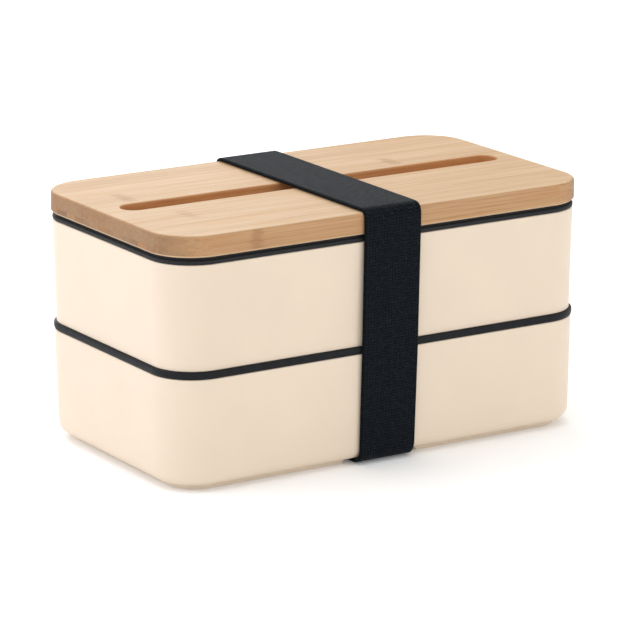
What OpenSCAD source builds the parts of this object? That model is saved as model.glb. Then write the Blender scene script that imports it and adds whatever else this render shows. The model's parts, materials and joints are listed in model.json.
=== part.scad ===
// Two-tier bento lunch box: two moulded trays, a sealed lid between them,
// a bamboo lid with a phone groove, cutlery, a divider and an elastic strap.
// Millimetres. +X runs along the length, +Z is up, the long front face is on -Y.
// The origin is under the middle of the box, on the plane that the foot rim stands on.

/* [Overall] */
// Length of the bamboo lid, the longest piece
box_l = 190; // [150:1:230]
// Width of the bamboo lid
box_w = 109.2; // [95:0.1:140]
// Plan radius of the lid's corners; every other corner is concentric with it
corner_r = 18.3; // [15:0.1:24]

/* [Trays] */
// Height of the lower tray's body, without its foot rim
lower_h = 42.6; // [34:0.1:60]
// Height of the upper tray's body, without its nesting rim
upper_h = 41.2; // [34:0.1:60]
// Thickness of the tray walls
wall = 2.2; // [1.6:0.1:3]
// Thickness of the tray floors
floor_t = 2; // [1.4:0.1:3]
// Lower tray: how far its top edge lies inside the lid's outline
lower_top_inset = 0.6; // [0.4:0.1:1.5]
// Upper tray: how far its top edge lies inside the lid's outline
upper_top_inset = 0.5; // [0.4:0.1:1.5]
// Both trays: how far the bottom of the wall lies inside the lid's outline
bottom_inset = 1.4; // [0.8:0.1:2.5]
// Radius round the lower tray's bottom edge
base_r = 5; // [3:0.1:6]
// Radius where wall and floor meet inside a tray
inner_r = 4; // [2:0.1:5]
// Small break on the sharp moulded edges
edge_break = 0.35; // [0.2:0.05:0.6]

/* [Foot and nesting rims] */
// Height of the foot rim under the lower tray
foot_h = 2; // [1.8:0.1:3]
// How far the foot rim lies inside the rounding of the bottom edge
foot_margin = 0.6; // [0.2:0.1:3]
// Width of the foot rim and of the nesting rim
rim_w = 2.4; // [1.6:0.1:3]
// Clear width of the strap's gap through the foot rim
strap_gap_w = 31; // [30:0.5:44]
// Height of the nesting rim under the upper tray
nest_h = 2.5; // [1.5:0.1:4]
// Gap between the nesting rim and the recess that it drops into
nest_clearance = 0.3; // [0.2:0.05:0.6]

/* [Tier lid] */
// Thickness of the black rim that shows between the trays
tier_rim_h = 2.9; // [2:0.1:4]
// How far the rim lies inside the lid's outline
tier_rim_inset = 0.3; // [0:0.1:0.6]
// Wall and floor thickness of the cutlery pan
pan_wall = 1.2; // [1:0.1:2]
// Depth of the cutlery pan below the tier lid's rim
pan_depth = 11; // [9:0.1:15]
// Gap between the pan's skirt and the mouth of the lower tray
skirt_clearance = 1; // [0.8:0.1:2]
// Height of the ribs between the cutlery's lanes
rib_h = 4; // [2:0.1:6]

/* [Bamboo lid] */
// Thickness of the bamboo board
board_t = 8.35; // [7:0.05:12]
// Rounding of the board's top edge
board_edge_r = 1.1; // [0.5:0.1:2]
// Height of the plug that drops into the upper tray
plug_h = 5.4; // [4:0.1:7]
// Distance of the phone groove from the lid's ends
groove_end = 8.9; // [8:0.1:40]
// Width of the phone groove
groove_w = 10.8; // [8:0.1:14]
// Depth of the phone groove
groove_d = 5.2; // [4.6:0.1:6]
// Break on the groove's top edge
groove_break = 0.4; // [0.2:0.1:0.8]
// How far the groove lies right of the lid's centre
groove_x = 0.75; // [-5:0.05:5]
// How far the groove lies behind the lid's centre line
groove_y = 1.4; // [-5:0.1:5]

/* [Seals] */
// Height of the seal line between the bamboo lid and the upper tray
seal_h = 2.85; // [2:0.05:4]
// Height of the seal's flange below its shadow gap
flange_h = 1.7; // [1:0.1:1.9]
// How deep the shadow gap under the board is cut
shadow_gap = 1.1; // [0.5:0.1:2]
// How far below the rim the tier lid's seal starts
tier_seal_drop = 1.2; // [0.8:0.1:2]
// Height of the tier lid's seal
tier_seal_h = 3.2; // [2.4:0.1:5]
// Depth of the groove that each seal sits in
seal_seat = 0.8; // [0.5:0.1:1]
// Gap between a seal's lips and the tray wall
seal_clearance = 0.3; // [0.2:0.05:0.5]
// Height of one seal lip
lip_h = 0.7; // [0.5:0.1:1]

/* [Divider] */
// Thickness of the divider
divider_t = 1.8; // [1.2:0.1:3]
// Where the divider stands along the upper tray
divider_x = 20; // [-50:1:50]
// Gap between the divider and the tray
divider_clearance = 0.3; // [0.2:0.05:0.6]
// Gap between the divider and the lid above it
divider_headroom = 1.5; // [1:0.1:4]
// Width of the divider's foot
divider_foot_w = 10; // [6:0.5:16]
// Radius of the divider's finger notch
notch_r = 14; // [8:0.5:18]

/* [Cutlery] */
// Distance of the cutlery from the ends of the pan
cutlery_end = 10.2; // [9:0.1:20]
// Thickness of a handle
handle_t = 2.4; // [1.8:0.1:3]
// Width of a handle at its end
handle_w = 15; // [10:0.5:18]
// Width of a handle at its neck
neck_w = 8; // [6:0.5:10]
// Width of the fork's head and of the spoon's bowl
head_w = 25; // [20:0.5:27]
// Number of tines on the fork
tines = 4; // [3:1:4]
// Length of the fork's tines
tine_l = 34; // [24:1:40]
// Height of the spoon's bowl
bowl_h = 5.2; // [4:0.1:5.5]
// Wall of the spoon's bowl
bowl_wall = 1.6; // [1.2:0.1:2]
// Width of the knife's blade
blade_w = 19; // [14:0.5:24]
// Number of teeth on the knife's edge
teeth = 20; // [8:1:24]

// How far each handle runs into the head in front of it
handle_join = 9; // [6:0.5:12]
// Length of the fork's head behind its tines
fork_back_l = 14; // [10:1:20]
// Corner radius at the back of the fork's tines
fork_back_r = 4; // [2:0.5:6]
// Radius of the fork's outer tips
tine_tip_r = 2; // [1:0.5:3]
// How much each side of the fork narrows towards its tips
fork_taper = 1.5; // [0:0.5:3]
// Distance between the wide and the narrow cap of the spoon's bowl
bowl_step = 14; // [8:1:20]
// Length of the knife's blade
blade_l = 73.5; // [60:0.5:90]
// Thickness of the knife's blade
blade_t = 1.6; // [1.2:0.1:1.8]
// Distance over which the blade widens from the neck
heel_l = 14; // [8:1:20]
// Distance of the cutting edge from the blade's point
point_l = 14; // [10:1:20]
// Radius of the blade's point
point_r = 9; // [6:0.5:9]
// Radius of the blade's back corner
spine_r = 6; // [3:0.5:8]
// Radius at both ends of the cutting edge
edge_r = 3; // [2:0.5:5]
// Radius of each tooth's hollow
tooth_r = 0.8; // [0.4:0.1:1]
// Depth of each tooth's hollow
tooth_d = 0.4; // [0.2:0.1:0.6]

/* [Strap] */
// Width of the elastic webbing
strap_w = 25.6; // [20:0.1:28]
// Thickness of the elastic webbing
strap_t = 1.2; // [0.8:0.1:1.4]
// Gap between the webbing and the box
strap_clearance = 0.3; // [0.1:0.05:0.4]
// Number of seam rows across the webbing
seam_rows = 3; // [2:1:4]
// Number of zigzag stitches in a row
seam_stitches = 10; // [6:1:16]
// Thickness of the sewing thread
thread = 0.3; // [0.2:0.05:0.3]

/* [Hidden] */
$fn = 96;
ARC_STEPS = 8;
cream = [0.93, 0.85, 0.77];
bamboo = [0.87, 0.73, 0.55];
black = [0.13, 0.14, 0.15];
webbing = [0.09, 0.11, 0.13];

// Corner centres, shared by every rounded outline
cx = box_l / 2 - corner_r;
cy = box_w / 2 - corner_r;

// Heights of the faces where the pieces meet, from the ground up
base_z = foot_h;
lower_top = base_z + lower_h;
tier_top = lower_top + tier_rim_h;
upper_top = tier_top + upper_h;
board_z = upper_top + seal_h;
lid_top = board_z + board_t;
plug_z = board_z - plug_h;
pan_z = lower_top - pan_depth;
pan_floor = pan_z + pan_wall;
tier_seal_top = lower_top - tier_seal_drop;

// Insets that follow from the wall thicknesses
lower_mouth = lower_top_inset + wall;
upper_mouth = upper_top_inset + wall;
tray_floor_inset = bottom_inset + wall + inner_r;
plug_inset = upper_mouth + seal_clearance + lip_h + seal_seat;
foot_inset = bottom_inset + base_r + foot_margin;
skirt_inset = lower_mouth + skirt_clearance;
seat_inset = skirt_inset + seal_seat;
pan_inset = seat_inset + pan_wall;
nest_inset = pan_inset + nest_clearance;
// How far a floor plate starts inside the corner that it continues
floor_lap = 2;

// Lanes of the cutlery pan
pan_half_w = box_w / 2 - pan_inset;
lane_w = (2 * pan_half_w - 2 * pan_wall) / 3;
lane_y = lane_w + pan_wall;
cutlery_l = box_l - 2 * pan_inset - 2 * cutlery_end;

// Distance of an outline from its corner centres, for an inset from the lid's edge
function u(inset) = corner_r - inset;

// Points along an arc about c, from angle a0 to a1
function arc(c, r, a0, a1) =
    [for (k = [0:ARC_STEPS]) let (a = a0 + (a1 - a0) * k / ARC_STEPS) c + r * [cos(a), sin(a)]];

// Sweeps a profile, drawn as (distance from the corner centres, height), round the box
module ring() {
    signs = [[1, 1], [-1, 1], [-1, -1], [1, -1]];
    for (k = [0:3]) {
        translate([signs[k][0] * cx, signs[k][1] * cy, 0])
            rotate(90 * k)
                rotate_extrude(angle = 90)
                    children();
        out = k % 2 == 0 ? cx : cy;
        along = k % 2 == 0 ? cy : cx;
        rotate(90 * k)
            translate([out, along, 0])
                rotate([90, 0, 0])
                    linear_extrude(2 * along)
                        children();
    }
}

// A flat rounded plate at an inset, from z up by t
module plate(inset, z, t) {
    r = u(inset);
    translate([0, 0, z])
        linear_extrude(t) {
            for (sx = [-1, 1], sy = [-1, 1])
                translate([sx * cx, sy * cy])
                    circle(r);
            square([2 * cx, 2 * (cy + r)], center = true);
            square([2 * (cx + r), 2 * cy], center = true);
        }
}

// A tray's walls, floor and rounded corners
module tray_shell(z, h, top_inset, edge_r) {
    floor_z = z + floor_t;
    top = z + h;
    u_floor = u(tray_floor_inset);
    ring()
        polygon(concat(
            [[u(top_inset + wall), top], [u(top_inset) - edge_break, top], [u(top_inset), top - edge_break]],
            arc([u(bottom_inset) - edge_r, z + edge_r], edge_r, 0, -90),
            [[u_floor, z]],
            arc([u_floor, floor_z + inner_r], inner_r, -90, 0)));
    plate(tray_floor_inset, z, floor_t);
}

// A standing rim under a tray, from its foot at z up by h
module standing_rim(inset, z, h) {
    ring()
        polygon([[u(inset), z + h], [u(inset), z + edge_break], [u(inset) - edge_break, z],
                 [u(inset + rim_w) + edge_break, z], [u(inset + rim_w), z + edge_break],
                 [u(inset + rim_w), z + h]]);
}

module lower_tray() {
    color(cream) {
        tray_shell(base_z, lower_h, lower_top_inset, base_r);
        difference() {
            standing_rim(foot_inset, 0, foot_h);
            rotate([90, 0, 0])
                linear_extrude(2 * box_w, center = true)
                    polygon([[-strap_gap_w / 2 - foot_h, -1], [strap_gap_w / 2 + foot_h, -1],
                             [strap_gap_w / 2, foot_h + 1], [-strap_gap_w / 2, foot_h + 1]]);
        }
    }
}

module upper_tray() {
    color(cream) {
        tray_shell(tier_top, upper_h, upper_top_inset, edge_break);
        standing_rim(nest_inset, tier_top - nest_h, nest_h);
    }
}

// Black lid between the trays: a rim, a skirt with a seal seat, and a pan for the cutlery
module tier_lid() {
    u_floor = u(pan_inset + floor_lap);
    color(black) {
        ring()
            polygon([[u(tier_rim_inset) - edge_break, tier_top], [u(tier_rim_inset), tier_top - edge_break],
                     [u(tier_rim_inset), lower_top + tier_rim_h / 3], [u(tier_rim_inset) - edge_break, lower_top],
                     [u(skirt_inset), lower_top], [u(skirt_inset), tier_seal_top],
                     [u(seat_inset), tier_seal_top], [u(seat_inset), tier_seal_top - tier_seal_h],
                     [u(skirt_inset), tier_seal_top - tier_seal_h], [u(skirt_inset), pan_z + edge_break],
                     [u(skirt_inset) - edge_break, pan_z],
                     [u_floor, pan_z], [u_floor, pan_floor],
                     [u(pan_inset) - edge_break, pan_floor], [u(pan_inset), pan_floor + edge_break],
                     [u(pan_inset), tier_top]]);
        plate(pan_inset + floor_lap, pan_z, pan_wall);
        for (side = [-1, 1])
            translate([0, side * lane_y / 2, pan_floor + rib_h / 2])
                cube([2 * cx, pan_wall, rib_h], center = true);
    }
}

// Points of one pointed seal lip, whose tip is at distance u_tip and height z
function lip(u_tip, z) = [[u_tip - lip_h, z + 0.6 * lip_h], [u_tip, z], [u_tip - lip_h, z - 0.6 * lip_h]];

module tier_lid_seal() {
    draft = (bottom_inset - lower_top_inset) / (lower_h - floor_t - inner_r);
    u_tip = u(lower_mouth + draft * (tier_seal_drop + tier_seal_h) + seal_clearance);
    bottom = tier_seal_top - tier_seal_h;
    color(black)
        ring()
            polygon(concat(
                [[u(seat_inset), tier_seal_top], [u_tip - lip_h, tier_seal_top]],
                lip(u_tip, tier_seal_top - tier_seal_h / 4),
                lip(u_tip, bottom + tier_seal_h / 4),
                [[u_tip - lip_h, bottom], [u(seat_inset), bottom]]));
}

module lid_seal() {
    outer = u(upper_top_inset);
    inner = u(plug_inset);
    u_tip = u(upper_mouth + seal_clearance);
    bottom = plug_z + edge_break;
    color(black)
        ring()
            polygon(concat(
                [[inner, board_z], [outer - shadow_gap, board_z], [outer - shadow_gap, upper_top + flange_h],
                 [outer - edge_break, upper_top + flange_h], [outer, upper_top + flange_h - edge_break],
                 [outer, upper_top + edge_break], [outer - edge_break, upper_top],
                 [u_tip - lip_h, upper_top]],
                lip(u_tip, (upper_top + bottom) / 2),
                [[u_tip - lip_h, bottom], [inner, bottom]]));
}

module bamboo_lid() {
    u_core = u(plug_inset + floor_lap);
    color(bamboo)
        difference() {
            union() {
                ring()
                    polygon(concat(
                        [[u_core, lid_top]],
                        arc([u(board_edge_r), lid_top - board_edge_r], board_edge_r, 90, 0),
                        [[u(0), board_z + 2 * edge_break], [u(2 * edge_break), board_z],
                         [u(plug_inset), board_z], [u(plug_inset), plug_z + edge_break],
                         [u(plug_inset) - edge_break, plug_z], [u_core, plug_z]]));
                plate(plug_inset + floor_lap, plug_z, plug_h + board_t);
            }
            phone_groove();
        }
}

// Blind groove with round ends and a broken top edge
module phone_groove() {
    mid = box_l / 2 - groove_end - groove_w / 2;
    half_w = groove_w / 2;
    half = [[half_w, 0], [half_w, groove_d - groove_break], [half_w + groove_break, groove_d],
            [half_w + groove_break, groove_d + 1]];
    translate([groove_x, groove_y, lid_top - groove_d]) {
        for (side = [-1, 1])
            translate([side * mid, 0, 0])
                rotate_extrude()
                    polygon(concat([[0, 0]], half, [[0, groove_d + 1]]));
        rotate([90, 0, 90])
            linear_extrude(2 * mid, center = true)
                polygon(concat(half, [for (k = [len(half) - 1:-1:0]) [-half[k][0], half[k][1]]]));
    }
}

// Thin wall across the upper tray, shaped to its section, with a foot and a finger notch
module divider() {
    floor_z = tier_top + floor_t;
    top = plug_z - divider_headroom;
    foot_y = cy + u(tray_floor_inset);
    gap = divider_clearance;
    side_y = cy + u(upper_mouth) - gap;
    slope = (bottom_inset - upper_top_inset) / (upper_h - floor_t);
    y_top = side_y - slope * (upper_top - top);
    right = concat(
        arc([foot_y, floor_z + inner_r], inner_r - gap, -90, 0),
        arc([y_top - inner_r, top - inner_r], inner_r, 0, 90));
    color(cream)
        difference() {
            union() {
                translate([divider_x - divider_t / 2, 0, 0])
                    rotate([90, 0, 90])
                        linear_extrude(divider_t)
                            polygon(concat(right, [for (k = [len(right) - 1:-1:0]) [-right[k][0], right[k][1]]]));
                translate([divider_x, 0, floor_z + gap + floor_t / 2])
                    cube([divider_foot_w, 2 * (foot_y - gap), floor_t], center = true);
            }
            translate([divider_x, 0, top])
                rotate([0, 90, 0])
                    cylinder(r = notch_r, h = 2 * divider_t, center = true);
        }
}

// Flat handle of a piece of cutlery, from its end at x = 0 to its neck at x = l
module handle(l) {
    linear_extrude(handle_t)
        hull() {
            translate([handle_w / 2, 0])
                circle(d = handle_w);
            translate([l - neck_w / 2, 0])
                circle(d = neck_w);
        }
}

module laid(lane) {
    translate([-cutlery_l / 2, lane * lane_y, pan_floor])
        children();
}

module fork() {
    slot_w = head_w / (2 * tines - 1) * 0.9;
    tine_x = cutlery_l - tine_l;
    color(cream)
        laid(-1) {
            handle(tine_x - fork_back_l + handle_join);
            difference() {
                linear_extrude(handle_t)
                    hull() {
                        translate([tine_x - fork_back_l, 0])
                            circle(d = neck_w);
                        for (side = [-1, 1]) {
                            translate([tine_x, side * (head_w / 2 - fork_back_r)])
                                circle(r = fork_back_r);
                            translate([cutlery_l - tine_tip_r, side * (head_w / 2 - tine_tip_r - fork_taper)])
                                circle(r = tine_tip_r);
                        }
                    }
                for (k = [1:tines - 1])
                    translate([tine_x, (k - tines / 2) * head_w / tines, -1])
                        linear_extrude(handle_t + 2)
                            hull()
                                for (x = [0, tine_l + slot_w])
                                    translate([x, 0])
                                        circle(d = slot_w, $fn = 32);
            }
        }
}

// Radius of a sphere whose cap is w wide and as high as the spoon's bowl
function cap_r(w) = (pow(w / 2, 2) + pow(bowl_h, 2)) / (2 * bowl_h);

// The bowl's cup: a wide cap towards the handle, and a narrower one near the tip
tip_w = 0.8 * head_w;
caps = [[cutlery_l - tip_w / 2 - bowl_step, cap_r(head_w)], [cutlery_l - tip_w / 2, cap_r(tip_w)]];
module cup_shape(shrink) {
    hull()
        for (c = caps)
            translate([c[0], 0, c[1]])
                sphere(r = c[1] - shrink, $fn = 40);
}

module spoon() {
    neck_x = caps[0][0] - head_w / 2 + neck_w / 2;
    tilt = asin((bowl_h - handle_t) / neck_x);
    color(cream)
        laid(0) {
            difference() {
                intersection() {
                    cup_shape(0);
                    translate([0, -head_w, 0])
                        cube([2 * cutlery_l, 2 * head_w, bowl_h]);
                }
                cup_shape(bowl_wall);
            }
            rotate([0, -tilt, 0])
                handle(neck_x);
        }
}

module knife() {
    blade_x = cutlery_l - blade_l;
    edge_x = blade_x + heel_l;
    edge_l = blade_l - heel_l - point_l;
    color(cream)
        laid(1) {
            handle(blade_x + handle_join);
            difference() {
                linear_extrude(blade_t)
                    hull() {
                        translate([blade_x, 0])
                            circle(d = neck_w);
                        translate([edge_x, blade_w / 2 - spine_r])
                            circle(r = spine_r);
                        translate([cutlery_l - point_r, blade_w / 2 - point_r])
                            circle(r = point_r);
                        for (x = [edge_x, edge_x + edge_l])
                            translate([x, edge_r - blade_w / 2])
                                circle(r = edge_r);
                    }
                for (k = [0:teeth - 1])
                    translate([edge_x + k * edge_l / teeth, tooth_d - tooth_r - blade_w / 2, -1])
                        cylinder(r = tooth_r, h = handle_t + 2);
            }
        }
}

// Right half of the strap's loop round the box's section, at a distance outside it
function strap_half(gap) = concat(
    arc([box_w / 2 - board_edge_r, lid_top - board_edge_r], board_edge_r + gap, 90, 0),
    [[box_w / 2 + gap, board_z],
     [box_w / 2 - tier_rim_inset + gap, tier_top],
     [box_w / 2 - tier_rim_inset + gap, lower_top]],
    arc([box_w / 2 - bottom_inset - base_r, base_z + base_r], base_r + gap, 0, -90));

module strap_section(gap) {
    half = strap_half(gap);
    polygon(concat(half, [for (k = [len(half) - 1:-1:0]) [-half[k][0], half[k][1]]]));
}

module strap() {
    color(webbing)
        rotate([90, 0, 90])
            linear_extrude(strap_w, center = true)
                difference() {
                    strap_section(strap_clearance + strap_t);
                    strap_section(strap_clearance);
                }
}

// Zigzag rows that close the loop, on the underside of the webbing
module strap_stitching() {
    under = base_z - strap_clearance - strap_t;
    pitch = (strap_w - 2) / seam_stitches;
    row = 4;
    lean = atan(pitch / row);
    stitch_l = sqrt(pow(pitch, 2) + pow(row, 2)) + thread;
    color(black)
        for (r = [0:seam_rows - 1], k = [0:seam_stitches - 1])
            translate([(k + 0.5) * pitch - strap_w / 2 + 1, (r - (seam_rows - 1) / 2) * row, under - thread / 2])
                rotate(k % 2 == 0 ? lean : -lean)
                    cube([2 * thread, stitch_l, thread], center = true);
}

lower_tray();
tier_lid();
tier_lid_seal();
fork();
spoon();
knife();
upper_tray();
divider();
bamboo_lid();
lid_seal();
strap();
strap_stitching();
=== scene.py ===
"""Looks of the two-tier bento lunch box: materials, webbing, stitching, floor, light and camera."""

import json
import math

import bmesh
import bpy
import numpy as np
from mathutils import Matrix, Vector

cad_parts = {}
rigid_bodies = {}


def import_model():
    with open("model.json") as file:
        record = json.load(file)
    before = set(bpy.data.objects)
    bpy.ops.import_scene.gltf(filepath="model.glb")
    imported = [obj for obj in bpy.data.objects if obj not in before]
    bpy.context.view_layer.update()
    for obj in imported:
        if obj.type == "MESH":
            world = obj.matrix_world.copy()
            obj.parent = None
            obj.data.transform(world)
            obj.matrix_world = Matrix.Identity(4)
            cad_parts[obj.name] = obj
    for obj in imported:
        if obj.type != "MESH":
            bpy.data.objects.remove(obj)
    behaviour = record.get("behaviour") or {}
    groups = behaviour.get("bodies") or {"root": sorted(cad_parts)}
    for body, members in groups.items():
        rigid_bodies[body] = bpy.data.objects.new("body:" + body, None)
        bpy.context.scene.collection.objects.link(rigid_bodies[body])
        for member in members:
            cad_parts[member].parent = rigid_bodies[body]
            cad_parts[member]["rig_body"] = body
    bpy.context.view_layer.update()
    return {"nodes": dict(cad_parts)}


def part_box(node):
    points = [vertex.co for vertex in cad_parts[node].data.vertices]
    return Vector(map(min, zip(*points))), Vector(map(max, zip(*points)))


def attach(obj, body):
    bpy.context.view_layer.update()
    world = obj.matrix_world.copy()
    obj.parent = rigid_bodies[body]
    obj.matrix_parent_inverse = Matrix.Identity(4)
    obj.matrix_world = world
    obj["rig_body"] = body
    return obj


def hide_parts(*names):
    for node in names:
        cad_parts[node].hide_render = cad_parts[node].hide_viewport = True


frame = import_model()

MM = 0.001
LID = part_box("bamboo_lid")
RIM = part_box("tier_lid")
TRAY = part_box("lower_tray")
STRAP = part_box("strap")

OBJECT_NORMAL, OBJECT_PLACE = 1, 3  # outputs of the Texture Coordinate node


# ---------------------------------------------------------------- node helpers


class Shader:
    """A material whose nodes are added by short calls. Inputs may be sockets or plain values."""

    def __init__(self, name):
        self.material = bpy.data.materials.new(name)
        self.material.use_nodes = True
        self.tree = self.material.node_tree
        self.bsdf = self.tree.nodes["Principled BSDF"]
        self.output = self.tree.nodes["Material Output"]

    def put(self, socket, value):
        if isinstance(value, bpy.types.NodeSocket):
            self.tree.links.new(value, socket)
        elif value is not None:
            socket.default_value = value

    def add(self, kind, inputs=(), out=0, **settings):
        node = self.tree.nodes.new(kind)
        for key, value in settings.items():
            setattr(node, key, value)
        pairs = inputs.items() if isinstance(inputs, dict) else enumerate(inputs)
        for key, value in pairs:
            self.put(node.inputs[key], value)
        return node.outputs[out]

    def math(self, op, *values):
        return self.add("ShaderNodeMath", values, operation=op)

    def scaled(self, vector, share):
        return self.add("ShaderNodeVectorMath", {0: vector, "Scale": share}, operation="SCALE")

    def off(self, mark):
        """One minus a mark: 1 where the mark is 0."""
        return self.math("SUBTRACT", 1.0, mark)

    def split(self, vector):
        node = self.tree.nodes.new("ShaderNodeSeparateXYZ")
        self.put(node.inputs[0], vector)
        return node.outputs

    def join(self, x, y, z):
        return self.add("ShaderNodeCombineXYZ", [x, y, z])

    def mix(self, share, a, b, blend="MIX"):
        node = self.tree.nodes.new("ShaderNodeMix")
        node.data_type = "RGBA"
        node.blend_type = blend
        for key, value in ((0, share), (6, a), (7, b)):
            if isinstance(value, tuple) and len(value) == 3:
                value = (*value, 1)
            self.put(node.inputs[key], value)
        return node.outputs[2]

    def ramp(self, value, low, high, to_low=0.0, to_high=1.0, smooth=True):
        limits = {"From Min": low, "From Max": high, "To Min": to_low, "To Max": to_high}
        return self.add(
            "ShaderNodeMapRange",
            {"Value": value, **limits},
            interpolation_type="SMOOTHSTEP" if smooth else "LINEAR",
        )

    def noise(self, vector, scale=1.0, detail=2.0, rough=0.5):
        inputs = {"Vector": vector, "Scale": scale, "Detail": detail, "Roughness": rough}
        return self.add("ShaderNodeTexNoise", inputs)

    def random(self, value):
        return self.add("ShaderNodeTexWhiteNoise", {"W": value}, noise_dimensions="1D")

    def mm(self):
        """The place in the part's frame, in millimetres."""
        return self.scaled(self.add("ShaderNodeTexCoord", out=OBJECT_PLACE), 1 / MM)

    def bump(self, height, distance):
        inputs = {"Strength": 1.0, "Distance": distance, "Height": height}
        return self.add("ShaderNodeBump", inputs)

    def finish(self, **sockets):
        for name, value in sockets.items():
            self.put(self.bsdf.inputs[name.replace("_", " ")], value)
        return self.material


# ---------------------------------------------------------------- materials


def moulded(name, colour, roughness, shine=0.5, grain=0.02, mottle=0.02):
    """Moulded polypropylene or silicone: an even colour, faintly clouded, with a fine grain."""
    s = Shader(name)
    place = s.mm()
    cloud = s.noise(place, 0.035, 3.0)
    tone = s.ramp(cloud, 0.3, 0.7, 1 - mottle, 1 + mottle, smooth=False)
    rgb = s.scaled(colour, tone)
    fine = s.noise(place, 2.6, 3.0, 0.65)
    wear = s.noise(place, 0.22, 4.0, 0.6)
    rough = s.ramp(wear, 0.25, 0.75, roughness - 0.04, roughness + 0.05)
    return s.finish(
        Base_Color=rgb,
        Roughness=rough,
        Specular_IOR_Level=shine,
        Normal=s.bump(fine, grain * MM),
    )


# Bamboo, in millimetres of the part's frame
FACE_STRIP = 19.5  # width of the flat strips in the face layer
CORE_STRIP = 6.2  # width of the upright strips in the layer below it
CORE_TOP = (LID[1].z / MM) - 5.6  # where the face layer meets the layer below
BOARD_LOW = (LID[1].z / MM) - 8.9  # just under the board, above the plug
GROOVE_REACH = (90.0, 10.0)  # half-length and half-width of the region that holds the groove
# A knuckle crosses one strip: its place along and across, its half-width across, its strength
KNUCKLES = [(-76, 17, 9, 1.0), (-69, -20, 9, 0.55), (46, 17, 8, 1.0)]
EDGE_KNUCKLES = [(-59, -55, 8, 1.0), (38, 55, 8, 0.8)]
PALE = (0.585, 0.405, 0.237)
HONEY = (0.490, 0.303, 0.153)
AMBER = (0.529, 0.305, 0.137)
BROWN = (0.27, 0.115, 0.042)
MILLED_AND_SHADE = (0.850, 0.720, 0.595)  # how a cut edge darkens against the sanded face; on the rounded top edge this darkening is painted shade as well
GROOVED = (0.92, 0.67, 0.47)  # the same for the wall of the groove
END_GRAIN = (0.56, 0.46, 0.375)  # and for the board's two ends
BLOCK_TINTS = ((0.94, 1.0, 1.08), (1.10, 0.99, 0.86))  # cool and warm strips in the end grain


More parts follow.
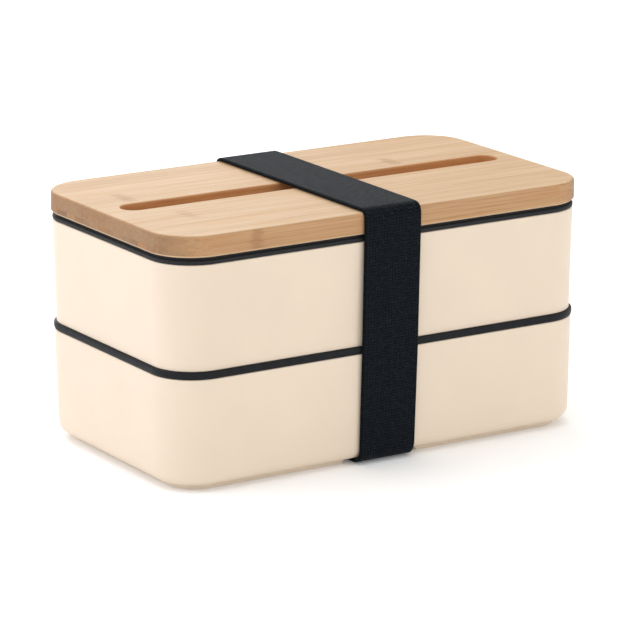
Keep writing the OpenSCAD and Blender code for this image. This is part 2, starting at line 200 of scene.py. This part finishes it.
def bamboo():
    """Laminated bamboo. Marks run from 0 to 1: edge, in_groove, endwise and core say where."""
    s = Shader("bamboo")
    x, y, z = s.split(s.mm())
    facing = s.split(s.add("ShaderNodeTexCoord", out=OBJECT_NORMAL))
    # The edge mark also takes in the rounded top edge, where its darker colour is painted shade
    edge = s.ramp(s.off(s.math("ABSOLUTE", facing[2])), 0.02, 0.25)
    near_x, near_y = (
        s.math("LESS_THAN", s.math("ABSOLUTE", value), reach)
        for value, reach in zip((x, y), GROOVE_REACH)
    )
    in_groove = s.math("MULTIPLY", near_y, near_x)
    ends = s.math("POWER", s.math("ABSOLUTE", facing[0]), 2.0)
    endwise = s.math("MULTIPLY", ends, s.off(in_groove))

    def stretched(along, across, deep, seed=0.0):
        return s.join(
            s.math("MULTIPLY", xs, along),
            s.math("MULTIPLY", y, across),
            s.math("MULTIPLY_ADD", z, deep, seed),
        )

    # Two laminated layers: wide flat strips on top, narrow upright ones below
    core = s.math("LESS_THAN", z, CORE_TOP)
    sway = s.noise(s.join(s.math("MULTIPLY", x, 0.02), 0, 0))
    y_wavy = s.math("MULTIPLY_ADD", sway, 0.4, s.math("ADD", y, 3.0))
    across = s.math("DIVIDE", y_wavy, FACE_STRIP)
    core_id = s.math("ADD", s.math("FLOOR", s.math("DIVIDE", y_wavy, CORE_STRIP)), 50.0)
    strip = s.math("MULTIPLY_ADD", core, core_id, s.math("FLOOR", across))
    luck = s.random(strip)
    xs = s.math("MULTIPLY_ADD", luck, 400.0, x)

    # Fibres run along X, each strip with its own run
    broad = s.noise(stretched(0.007, 0.16, 0.2, 40.0), 1.0, 2.0, 0.5)
    streak = s.noise(stretched(0.012, 0.6, 0.9), 1.0, 4.0, 0.62)
    fibre = s.noise(stretched(0.035, 3.0, 3.4), 1.0, 3.0, 0.7)
    pore = s.noise(stretched(0.09, 6.5, 6.5), 1.0, 1.0)
    tone = s.math("MULTIPLY_ADD", streak, 0.75, s.math("MULTIPLY", fibre, 0.4))
    tone = s.math("ADD", tone, s.math("MULTIPLY", broad, 0.5))
    tone = s.math("MULTIPLY_ADD", s.math("SUBTRACT", luck, 0.5), 0.12, tone)
    colour = s.mix(s.ramp(tone, 0.62, 1.03), PALE, HONEY)
    warmth = s.noise(stretched(0.018, 0.22, 0.3, 90.0), 1.0, 2.0, 0.6)
    colour = s.mix(s.ramp(warmth, 0.5, 0.72, 0.0, 0.6), colour, AMBER)

    # Fine dark fibre bundles, denser in some streaks, and glue lines between the face strips
    dark = s.ramp(pore, 0.58, 0.76, 0.0, 0.38)
    bundle = s.math("MULTIPLY", dark, s.ramp(streak, 0.42, 0.62, 0.25, 1.0))
    colour = s.mix(bundle, colour, BROWN)
    joint = s.math("ABSOLUTE", s.math("SUBTRACT", s.math("FRACT", across), 0.5))
    glue = s.math("MULTIPLY", s.ramp(joint, 0.487, 0.5, 0.0, 0.45), s.off(core))
    colour = s.mix(glue, colour, HONEY)

    # Knuckles: a darker band with a feathered edge on one strip each
    uneven = s.join(s.math("MULTIPLY", x, 0.15), s.math("MULTIPLY", y, 1.1), z)
    rough_line = s.noise(uneven, 1.0, 3.0)
    ragged = s.math("MULTIPLY", s.math("SUBTRACT", rough_line, 0.5), 9.0)

    def knuckles(places):
        mark = 0.0
        for kx, ky, half, share in places:
            along = s.math("ABSOLUTE", s.math("ADD", s.math("SUBTRACT", x, float(kx)), ragged))
            band = s.ramp(along, 0.6, 4.0, 1.0, 0.0)
            away = s.math("ABSOLUTE", s.math("SUBTRACT", y, float(ky)))
            side = s.ramp(away, half * 0.55, float(half), share, 0.0)
            mark = s.math("MAXIMUM", mark, s.math("MULTIPLY", band, side))
        return mark

    flat_marks = s.math("MULTIPLY", knuckles(KNUCKLES), s.off(edge))
    marks = s.math("MAXIMUM", flat_marks, s.math("MULTIPLY", knuckles(EDGE_KNUCKLES), edge))
    colour = s.mix(s.math("MULTIPLY", marks, 0.36), colour, BROWN)

    # Cut edges are browner with stronger grain, end grain is greyer and blocky. On the rounded top
    # edge the darker cut-edge colour is painted shade as well
    cut = s.mix(endwise, s.mix(in_groove, MILLED_AND_SHADE, GROOVED), END_GRAIN)
    colour = s.mix(edge, colour, s.mix(1.0, colour, cut, "MULTIPLY"))
    grain = s.noise(stretched(0.02, 1.2, 1.5, 17.0), 1.0, 4.0, 0.65)
    long_edge = s.math("MULTIPLY", edge, s.off(endwise))
    veins = s.math("MULTIPLY", s.ramp(grain, 0.5, 0.72, 0.0, 0.55), long_edge)
    colour = s.mix(veins, colour, BROWN)
    block = s.ramp(s.random(s.math("ADD", strip, 7.0)), 0.0, 1.0, 0.70, 1.14, smooth=False)
    patch = s.scaled(s.mix(luck, *BLOCK_TINTS), block)
    end_edge = s.math("MULTIPLY", endwise, edge)
    blocky = s.math("MULTIPLY", end_edge, s.ramp(core, 0.0, 1.0, 0.35, 1.0))
    colour = s.mix(blocky, colour, s.mix(1.0, colour, patch, "MULTIPLY"))
    # The small bevel under the board's edge is paler; the plug's underside keeps its grain
    under = s.math("MULTIPLY", s.ramp(facing[2], -0.2, -0.5), s.math("GREATER_THAN", z, BOARD_LOW))
    colour = s.mix(under, colour, PALE)

    height = s.math("MULTIPLY_ADD", fibre, 0.6, s.math("MULTIPLY", pore, -0.5))
    rough = s.ramp(fibre, 0.3, 0.7, 0.50, 0.66)
    relief = s.bump(height, 0.05 * MM)
    return s.finish(Base_Color=colour, Roughness=rough, IOR=1.45, Normal=relief)


WARP_RIBS = 18  # lengthwise ribs across the webbing
RIB_H = 0.04 * MM
WEFT_PITCH = 1.15  # millimetres from one crossing to the next
YARN_DARK = (0.0012, 0.0021, 0.0034)
YARN_LIGHT = (0.0122, 0.0175, 0.0242)
LINT = (0.05, 0.055, 0.06)


def webbing():
    """Elastic webbing: uneven slanting strokes on each lengthwise rib.

    The UV map holds (across, along) in millimetres.
    """
    s = Shader("webbing")
    uv = s.add("ShaderNodeUVMap", uv_map="weave")
    across, along, _ = s.split(uv)
    rib_pitch = (STRAP[1].x - STRAP[0].x) / MM / WARP_RIBS
    rib = s.math("DIVIDE", across, rib_pitch)
    lean = s.math("SUBTRACT", s.math("MULTIPLY", s.math("PINGPONG", rib, 1.0), 2.0), 1.0)
    fuzz = s.noise(s.join(across, along, 0.0), 1.6, 3.0)
    stroke = s.math("ADD", s.math("DIVIDE", along, WEFT_PITCH), s.math("MULTIPLY", lean, 0.28))
    stroke = s.math("ADD", stroke, s.math("MULTIPLY", fuzz, 2.0))
    thread = s.math("PINGPONG", stroke, 0.5)
    thread = s.ramp(thread, 0.12, 0.38)
    cord = s.ramp(s.math("PINGPONG", rib, 0.5), 0.0, 0.3)
    weave = s.math("MULTIPLY", thread, s.math("ADD", s.math("MULTIPLY", cord, 0.6), 0.4))
    wide = s.join(s.math("MULTIPLY", across, 0.45), s.math("MULTIPLY", along, 1.3), 3.0)
    patchy = s.noise(wide, 1.0, 2.0)
    light = s.math("MULTIPLY", weave, s.ramp(patchy, 0.3, 0.7, 0.35, 1.0))
    colour = s.mix(light, YARN_DARK, YARN_LIGHT)
    lint = s.ramp(s.noise(s.join(across, along, 9.0), 3.5, 2.0), 0.68, 0.8, 0.0, 0.25)
    colour = s.mix(lint, colour, LINT)
    height = s.math("ADD", weave, s.math("MULTIPLY", fuzz, 0.3))
    return s.finish(
        Base_Color=colour,
        Roughness=0.75,
        Specular_IOR_Level=0.08,
        Sheen_Weight=s.ramp(light, 0.0, 0.8, 0.035, 0.13),
        Sheen_Roughness=0.3,
        Sheen_Tint=(0.95, 0.97, 1.0, 1),
        Normal=s.bump(height, 0.07 * MM),
    )


def sewing_thread():
    """Black polyester thread, with its plies as fine slanting bands."""
    s = Shader("thread")
    twist = {"Vector": s.mm(), "Scale": 2.4, "Distortion": 1.0, "Detail": 1.0}
    ply = s.add("ShaderNodeTexWave", twist, out=1)
    colour = s.mix(ply, (0.012, 0.013, 0.015), (0.035, 0.037, 0.04))
    return s.finish(Base_Color=colour, Roughness=0.55, Normal=s.bump(ply, 0.06 * MM))


# ---------------------------------------------------------------- CAD nodes, refined


WELD = 1e-6
FLAT_ANGLE = math.radians(0.5)  # faces closer to level than this become one
EDGE_ANGLE = math.radians(32)  # sharper edges than this are eased and keep their line


def refine(node, material, bevel, segments):
    """A CAD node's own shape as one welded, smooth-shaded mesh with eased edges."""
    cad = frame["nodes"][node]
    mesh = bmesh.new()
    mesh.from_mesh(cad.data)
    bmesh.ops.remove_doubles(mesh, verts=mesh.verts, dist=WELD)
    bmesh.ops.dissolve_limit(mesh, angle_limit=FLAT_ANGLE, verts=mesh.verts, edges=mesh.edges)
    data = bpy.data.meshes.new(node)
    mesh.to_mesh(data)
    mesh.free()
    piece = bpy.data.objects.new(node + "_shell", data)
    bpy.context.scene.collection.objects.link(piece)
    data.materials.clear()
    data.materials.append(material)
    eased = piece.modifiers.new("eased", "BEVEL")
    eased.width = bevel
    eased.segments = segments
    eased.limit_method = "ANGLE"
    eased.angle_limit = EDGE_ANGLE
    eased.use_clamp_overlap = True
    for polygon in data.polygons:
        polygon.use_smooth = True
    data.set_sharp_from_angle(angle=EDGE_ANGLE)
    even = piece.modifiers.new("even", "WEIGHTED_NORMAL")
    even.keep_sharp = True
    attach(piece, cad["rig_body"])
    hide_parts(node)


# ---------------------------------------------------------------- strap

STRAP_T = 1.45 * MM
HUG = 0.2 * MM  # gap between the webbing and the box
LID_EDGE_R = 1.1 * MM
BASE_EDGE_R = 3.2 * MM
BASE_Z = 2.0 * MM  # the tray's base stands this high, on the foot rim
BASE_INSET = 1.35 * MM
RIM_INSET = 0.3 * MM
BOARD_T = 8.35 * MM
SOFTENING_PASSES = 6
STATION_STEP = 0.8 * MM
STEPS_PER_RIB = 5
SELVEDGE = 0.035  # share of the width at each side that has no ribs
INNER_POINTS = 25


def arc(cy, cz, r, a0, a1, steps):
    angles = np.radians(np.linspace(a0, a1, steps))
    return [(cy + r * math.cos(a), cz + r * math.sin(a)) for a in angles]


def strap_loop(step):
    """Even stations round the box's section, as (y, z), with outward normals and the run so far."""
    half_w = LID[1].y
    right = arc(half_w - LID_EDGE_R, LID[1].z - LID_EDGE_R, LID_EDGE_R + HUG, 90, 0, 10)
    right.append((half_w + HUG, LID[1].z - BOARD_T))
    right.append((half_w - RIM_INSET + HUG, RIM[1].z))
    right.append((half_w - RIM_INSET + HUG, TRAY[1].z))
    corner_y, corner_z = half_w - BASE_INSET - BASE_EDGE_R, BASE_Z + BASE_EDGE_R
    right += arc(corner_y, corner_z, BASE_EDGE_R + HUG, 0, -90, 16)
    loop = np.array(right + [(-y, z) for y, z in reversed(right)])
    closed = np.vstack([loop, loop[:1]])
    steps = np.linalg.norm(np.diff(closed, axis=0), axis=1)
    run = np.concatenate([[0], np.cumsum(steps)])
    count = int(run[-1] / step)
    along = np.linspace(0, run[-1], count, endpoint=False)
    place = np.stack([np.interp(along, run, closed[:, k]) for k in (0, 1)], 1)
    # Webbing has some stiffness, so its bends are rounder than the edges it passes
    for _ in range(SOFTENING_PASSES):
        place = 0.5 * place + 0.25 * (np.roll(place, 1, 0) + np.roll(place, -1, 0))
    tangent = np.roll(place, -1, 0) - np.roll(place, 1, 0)
    tangent /= np.linalg.norm(tangent, axis=1)[:, None]
    normal = np.stack([-tangent[:, 1], tangent[:, 0]], 1)
    return place, normal, along, run[-1]


def strap_edges(y, z):
    """The strap sits a little askew, and narrows towards the front where it is stretched most."""
    left = -13.5 * MM + 0.001 * y + 0.0153 * z
    right = 12.2 * MM + 0.012 * y + 0.0200 * z
    return left, right


def strap_section():
    """The webbing's closed section, ribbed outside: (share across, side step, height)."""
    edge = STRAP_T / 2
    outer = []
    for t in np.linspace(0, 1, WARP_RIBS * STEPS_PER_RIB + 1):
        dome = abs(math.sin(math.pi * t * WARP_RIBS))
        selvedge = max(0.0, 1 - min(t, 1 - t) / SELVEDGE)
        outer.append((t, edge * (1 - 2 * t), STRAP_T - RIB_H * (1 - dome) * (1 - selvedge)))
    angles = np.radians(range(22, 180, 22))
    turn = [(1, edge * (math.sin(a) - 1), edge * (1 + math.cos(a))) for a in angles]
    inner = [(t, edge * (1 - 2 * t), 0.0) for t in np.linspace(1, 0, INNER_POINTS)]
    back = [(0, -step, h) for _, step, h in reversed(turn)]
    return outer + turn + inner + back


def make_strap(material):
    """The webbing as one closed ribbed band, with its weave laid out flat in the UV map."""
    place, normal, along, length = strap_loop(STATION_STEP)
    section = strap_section()
    stations, sides = len(place), len(section)
    points, widths = [], []
    for (y, z), (ny, nz) in zip(place, normal):
        left, right = strap_edges(y, z)
        widths.append(right - left)
        for t, step, h in section:
            points.append((left + t * (right - left) + step, y + ny * h, z + nz * h))
    width = float(np.mean(widths))
    faces, uvs = [], []
    for i in range(stations):
        j = (i + 1) % stations
        a0, a1 = along[i] / MM, (along[i + 1] if j else length) / MM
        for k in range(sides):
            m = (k + 1) % sides
            faces.append((i * sides + k, i * sides + m, j * sides + m, j * sides + k))
            x0, x1 = section[k][0] * width / MM, section[m][0] * width / MM
            uvs += [(x0, a0), (x1, a0), (x1, a1), (x0, a1)]
    data = bpy.data.meshes.new("strap_webbing")
    data.from_pydata(points, [], faces)
    layer = data.uv_layers.new(name="weave")
    layer.data.foreach_set("uv", np.array(uvs, np.float32).ravel())
    for polygon in data.polygons:
        polygon.use_smooth = True
    data.materials.append(material)
    mesh = bmesh.new()
    mesh.from_mesh(data)
    bmesh.ops.recalc_face_normals(mesh, faces=mesh.faces)
    mesh.to_mesh(data)
    mesh.free()
    piece = bpy.data.objects.new("strap_webbing", data)
    bpy.context.scene.collection.objects.link(piece)
    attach(piece, "strap")
    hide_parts("strap")


def make_seam(material):
    """Zigzag rows of thread that close the loop, on the underside."""
    rows, stitches, row_h = 3, 12, 4 * MM
    under = BASE_Z - HUG - STRAP_T
    thread_r, sunk, dip_depth = 0.17 * MM, 0.02 * MM, 0.12 * MM
    margin, points_per_stitch, zigzag_share = 0.06, 4, 0.85
    for r in range(rows):
        curve = bpy.data.curves.new("seam", "CURVE")
        curve.dimensions = "3D"
        curve.bevel_depth = thread_r
        curve.bevel_resolution = 2
        spline = curve.splines.new("POLY")
        points = []
        for k in range(stitches * points_per_stitch + 1):
            share = k / (stitches * points_per_stitch)
            swing = abs((share * stitches) % 2 - 1) - 0.5
            y = (r - (rows - 1) / 2) * row_h + swing * row_h * zigzag_share
            dip = dip_depth * abs(math.sin(math.pi * share * stitches))
            left, right = strap_edges(y, under)
            x = left + (margin + (1 - 2 * margin) * share) * (right - left)
            points.append((x, y, under + sunk - dip))
        spline.points.add(len(points) - 1)
        for p, co in zip(spline.points, points):
            p.co = (*co, 1)
        piece = bpy.data.objects.new(f"seam_thread_{r + 1}", curve)
        bpy.context.scene.collection.objects.link(piece)
        curve.materials.append(material)
        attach(piece, "strap")
        if r == 0:
            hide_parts("strap_stitching")


# ---------------------------------------------------------------- stage


FLOOR_HALF = 12  # metres
FLOOR_TONES = ((0.955, 0.955, 0.955), (0.97, 0.97, 0.97))
FLOOR_GLOW = (300.0, 1800.0, 0.08, 0.30)  # from and to, in mm from the box, and the glow at each


def make_floor():
    """White acrylic, faintly lit from below, and more so away from the box."""
    data = bpy.data.meshes.new("floor")
    signs = [(-1, -1), (1, -1), (1, 1), (-1, 1)]
    corners = [(x * FLOOR_HALF, y * FLOOR_HALF, 0) for x, y in signs]
    data.from_pydata(corners, [], [(0, 1, 2, 3)])
    s = Shader("floor")
    place = s.mm()
    speck = s.noise(place, 0.01, 3.0)
    colour = s.mix(s.ramp(speck, 0.3, 0.7), *FLOOR_TONES)
    away = s.add("ShaderNodeVectorMath", [place], out=1, operation="LENGTH")
    acrylic = s.finish(
        Base_Color=colour,
        Roughness=0.9,
        Emission_Color=(1, 1, 1, 1),
        Emission_Strength=s.ramp(away, *FLOOR_GLOW),
    )
    data.materials.append(acrylic)
    floor = bpy.data.objects.new("floor", data)
    bpy.context.scene.collection.objects.link(floor)


# World brightness by the Z of the direction: from and to, and the brightness at each
SKY_FADE = {"From Min": 0.2, "From Max": 0.7, "To Min": 1.0, "To Max": 0.75}
BOX_MIDDLE = (0, 0, 0.05)
WHITE = (1, 1, 1)
# Name, place, aim, size, watts and colour
LIGHTS = [
    ("left_softbox", (-0.95, 0.32, 0.5), BOX_MIDDLE, (0.8, 0.8), 2.5, (0.97, 0.975, 1.13)),
    ("top_softbox", (-0.3, 0.3, 1.8), BOX_MIDDLE, (2.2, 1.8), 14, WHITE),
    ("front_fill", (0.9, -1.6, 0.8), BOX_MIDDLE, (1.2, 1.2), 3.7, WHITE),
    ("back_sheen", (0.2, 0.8, 0.35), (-0.06, 0, 0.1), (0.5, 0.25), 1.75, WHITE),
]


def area_light(name, place, aim, size, watts, colour):
    light = bpy.data.lights.new(name, "AREA")
    light.shape = "RECTANGLE"
    light.size, light.size_y = size
    light.energy = watts
    light.color = colour
    lamp = bpy.data.objects.new(name, light)
    lamp.location = place
    lamp.rotation_euler = (Vector(aim) - Vector(place)).to_track_quat("-Z", "Y").to_euler()
    bpy.context.scene.collection.objects.link(lamp)


def make_light():
    """A pale studio: bright low down all round, dimmer overhead, with four soft lights."""
    world = bpy.data.worlds.new("studio")
    world.use_nodes = True
    tree = world.node_tree
    sky = tree.nodes["Background"]
    way = tree.nodes.new("ShaderNodeTexCoord")
    split = tree.nodes.new("ShaderNodeSeparateXYZ")
    fade = tree.nodes.new("ShaderNodeMapRange")
    fade.interpolation_type = "SMOOTHSTEP"
    for name, value in SKY_FADE.items():
        fade.inputs[name].default_value = value
    tree.links.new(way.outputs["Generated"], split.inputs[0])
    tree.links.new(split.outputs[2], fade.inputs["Value"])
    tree.links.new(fade.outputs["Result"], sky.inputs["Strength"])
    sky.inputs["Color"].default_value = (1, 1, 1, 1)
    bpy.context.scene.world = world
    for settings in LIGHTS:
        area_light(*settings)
    bpy.context.scene.view_settings.view_transform = "Standard"


CAMERA_ANGLES = (-31.937, 14.741, -0.118)  # azimuth, elevation and roll, in degrees
CAMERA_PLACE = (-0.76731, -1.22962, 0.42863)
CAMERA_LENS, CAMERA_SENSOR = 218.33, 36  # millimetres


def make_camera():
    """The photograph's view, from left of the long front face and a little above."""
    azimuth, elevation, roll = (math.radians(a) for a in CAMERA_ANGLES)
    level = math.cos(elevation)
    back = Vector((math.sin(azimuth) * level, -math.cos(azimuth) * level, math.sin(elevation)))
    right = Vector((math.cos(azimuth), math.sin(azimuth), 0))
    up = back.cross(right)
    side = right * math.cos(roll) + up * math.sin(roll)
    top = up * math.cos(roll) - right * math.sin(roll)
    data = bpy.data.cameras.new("camera")
    data.sensor_width = CAMERA_SENSOR
    data.lens = CAMERA_LENS
    camera = bpy.data.objects.new("camera", data)
    turn = Matrix((side, top, back)).transposed().to_4x4()
    camera.matrix_world = Matrix.Translation(CAMERA_PLACE) @ turn
    bpy.context.scene.collection.objects.link(camera)
    bpy.context.scene.camera = camera


# ---------------------------------------------------------------- build

make_camera()
make_floor()
make_light()

CREAM = (0.746, 0.622, 0.487)
BLACK = (0.0095, 0.0105, 0.012)
SILICONE = (0.012, 0.013, 0.0145)
tray_plastic = moulded("tray_plastic", CREAM, 0.42)
cutlery_plastic = moulded("cutlery_plastic", CREAM, 0.34)
black_plastic = moulded("black_plastic", BLACK, 0.5, 0.14)
seal_rubber = moulded("seal_rubber", SILICONE, 0.6, 0.25)
bamboo_wood = bamboo()

# Node, material, slot, how far its edges are eased in mm, and the steps in that
SHELLS = [
    ("lower_tray", tray_plastic, "tray_plastic", 0.25, 2),
    ("upper_tray", tray_plastic, "tray_plastic", 0.25, 2),
    ("divider", tray_plastic, "tray_plastic", 0.35, 2),
    ("fork", cutlery_plastic, "cutlery_plastic", 0.5, 3),
    ("spoon", cutlery_plastic, "cutlery_plastic", 0.4, 3),
    ("knife", cutlery_plastic, "cutlery_plastic", 0.4, 3),
    ("tier_lid", black_plastic, "black_plastic", 0.2, 2),
    ("tier_lid_seal", seal_rubber, "seal_rubber", 0.1, 2),
    ("lid_seal", seal_rubber, "seal_rubber", 0.15, 2),
    ("bamboo_lid", bamboo_wood, "bamboo", 0.15, 2),
]
for node, material, slot, easing, steps in SHELLS:
    refine(node, material, easing * MM, steps)
make_strap(webbing())
make_seam(sewing_thread())
